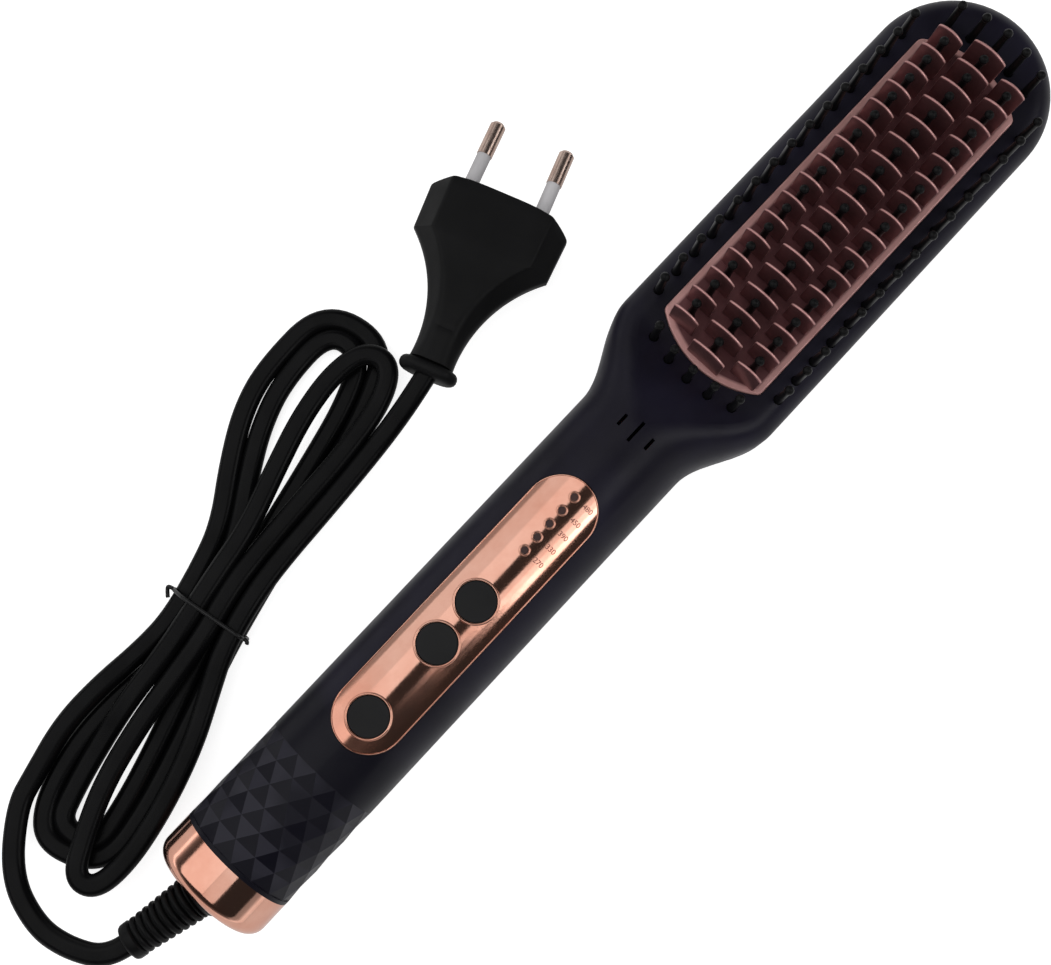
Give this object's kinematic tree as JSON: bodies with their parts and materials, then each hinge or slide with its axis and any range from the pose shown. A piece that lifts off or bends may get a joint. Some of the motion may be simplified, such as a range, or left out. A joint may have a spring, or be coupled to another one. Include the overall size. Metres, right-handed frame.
{
  "type": "hair straightening brush",
  "caption": "Heated hair straightening brush with a rose gold comb plate, three round keys, a faceted grip, a swivel cord and a tied mains lead with a flat two-pin plug.",
  "frame": {"origin": "centre of the brush's footprint at the level of its back, without the cord", "axes": "+X along the brush towards the tip of its head, +Z out of the bristle side, +Y across"},
  "size_m": [0.3167, 0.1039, 0.037],
  "materials": {
    "body_plastic": "fine matte, near black with a blue cast",
    "rose_plating": "polished rose gold plating",
    "clear_window": "clear tinted plastic",
    "key_plastic": "satin black",
    "stem_plastic": "natural moulded plastic",
    "rose_comb": "rose gold coating, satin",
    "bristle_plastic": "moulded black nylon",
    "mica": "pressed mica",
    "heater_ceramic": "fired white ceramic",
    "pad_rubber": "red silicone rubber",
    "wire_jacket": "silicone wire insulation",
    "sensor_glass": "glass bead",
    "cutout_can": "drawn can",
    "board": "green solder mask",
    "lamp_resin": "clear resin",
    "chip_resin": "black moulding resin",
    "capacitor_case": "yellow case",
    "fuse_glass": "clear glass",
    "switch_case": "black moulded case",
    "screw_steel": "zinc plated",
    "contact_brass": "turned brass",
    "cord_rubber": "satin black",
    "cord_jacket": "satin black",
    "tie_jacket": "black coated wire",
    "plug_plastic": "satin black",
    "sleeve_plastic": "grey insulating sleeve",
    "pin_metal": "nickel plated brass"
  },
  "bodies": {
    "brush": {"front_shell": "body_plastic", "back_shell": "body_plastic", "end_cap": "rose_plating", "control_panel": "rose_plating", "light_guide": "clear_window", "comb_plate": "rose_comb", "inner_bristle_board": "bristle_plastic", "outer_bristle_frame": "bristle_plastic", "heat_sheet": "mica", "ceramic_heaters": "heater_ceramic", "heater_pads": "pad_rubber", "heater_leads": "wire_jacket", "sensor_leads": "wire_jacket", "mains_leads": "wire_jacket", "thermistor": "sensor_glass", "thermal_cutout": "cutout_can", "circuit_board": "board", "indicator_lamps": "lamp_resin", "control_chip": "chip_resin", "power_triac": "chip_resin", "filter_capacitor": "capacitor_case", "mains_fuse": "fuse_glass", "tact_switches": "switch_case", "shell_screws": "screw_steel", "circuit_screws": "screw_steel", "comb_screws": "screw_steel", "frame_screws": "screw_steel", "swivel_retainer": "stem_plastic", "contact_block": "stem_plastic", "cord_lead": "cord_jacket", "cord_hank": "cord_jacket", "cord_tail": "cord_jacket", "cord_tie": "tie_jacket", "plug_body": "plug_plastic", "pin_sleeves": "sleeve_plastic", "plug_pins": "pin_metal"},
    "power_button": {"power_key": "key_plastic", "power_switch_stem": "stem_plastic"},
    "minus_button": {"minus_key": "key_plastic", "minus_switch_stem": "stem_plastic"},
    "plus_button": {"plus_key": "key_plastic", "plus_switch_stem": "stem_plastic"},
    "cord_swivel": {"cord_boot": "cord_rubber", "swivel_ball": "cord_rubber", "slip_rings": "contact_brass"}
  },
  "joints": [
    {"name": "power_press", "type": "slide", "parent": "brush", "child": "power_button", "axis": [0, 0, -1], "range_m": [0, 0.0005], "stiffness_N_per_m": 400, "springref_m": -0.001},
    {"name": "minus_press", "type": "slide", "parent": "brush", "child": "minus_button", "axis": [0, 0, -1], "range_m": [0, 0.0005], "stiffness_N_per_m": 400, "springref_m": -0.001},
    {"name": "plus_press", "type": "slide", "parent": "brush", "child": "plus_button", "axis": [0, 0, -1], "range_m": [0, 0.0005], "stiffness_N_per_m": 400, "springref_m": -0.001},
    {"name": "cord_turn", "type": "hinge", "parent": "brush", "child": "cord_swivel", "pos_m": [-0.1369, 0, 0.015], "axis": [-0.9792, 0.2028, 0], "continuous": true}
  ]
}
